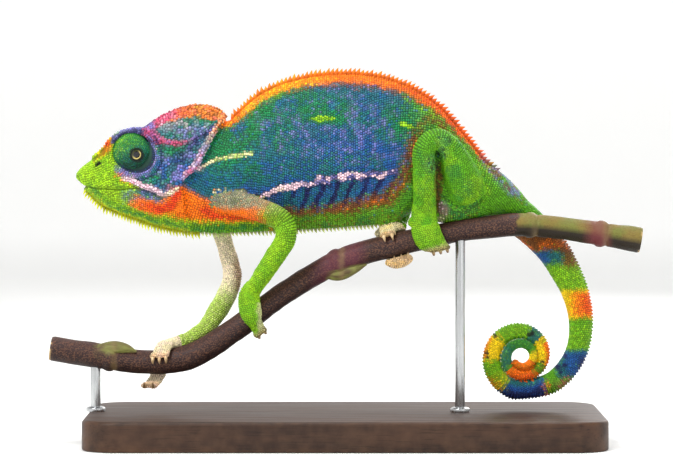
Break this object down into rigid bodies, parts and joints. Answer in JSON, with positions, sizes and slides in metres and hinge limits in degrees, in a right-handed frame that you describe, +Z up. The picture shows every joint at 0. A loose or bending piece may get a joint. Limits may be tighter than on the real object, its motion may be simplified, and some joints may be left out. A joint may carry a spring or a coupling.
{
  "type": "chameleon on a perch",
  "caption": "Still life-size chameleon with a high casque and a coiled tail, gripping a cut length of branch that two rods hold over a plain display base.",
  "frame": {"origin": "centre of the display base's underside", "axes": "+Z up; the animal faces -X along the perch, and its left side faces -Y"},
  "size_m": [0.2375, 0.092, 0.1498],
  "materials": {
    "skin_head": "matte, pebbly scales",
    "skin_trunk": "matte, fine granular scales",
    "skin_hind": "matte, fine granular scales",
    "skin_tail": "matte, banded",
    "skin_limb": "matte, granular scales",
    "skin_foot": "matte, with pale claws",
    "eye_skin": "satin",
    "eye": "wet gloss",
    "bark": "satin bark",
    "stand_wood": "satin stained wood",
    "stand_steel": "brushed"
  },
  "bodies": {
    "root": {"head": "skin_head", "jaw": "skin_head", "neck": "skin_trunk", "chest": "skin_trunk", "belly": "skin_trunk", "pelvis": "skin_hind", "tail_root": "skin_tail", "tail_middle": "skin_tail", "tail_coil_outer": "skin_tail", "tail_coil_inner": "skin_tail", "foreleg_left_upper": "skin_limb", "foreleg_left_lower": "skin_limb", "foreleg_right_upper": "skin_limb", "foreleg_right_lower": "skin_limb", "hindleg_left_upper": "skin_limb", "hindleg_left_lower": "skin_limb", "hindleg_right_upper": "skin_limb", "hindleg_right_lower": "skin_limb", "forefoot_left_near": "skin_foot", "forefoot_left_far": "skin_foot", "forefoot_right_near": "skin_foot", "forefoot_right_far": "skin_foot", "hindfoot_left_near": "skin_foot", "hindfoot_left_far": "skin_foot", "hindfoot_right_near": "skin_foot", "hindfoot_right_far": "skin_foot", "eye_turret_left": "eye_skin", "eye_turret_right": "eye_skin", "eye_left": "eye", "eye_right": "eye", "perch_branch": "bark", "stand_base": "stand_wood", "stand_rod_front": "stand_steel", "stand_rod_rear": "stand_steel"}
  },
  "joints": []
}
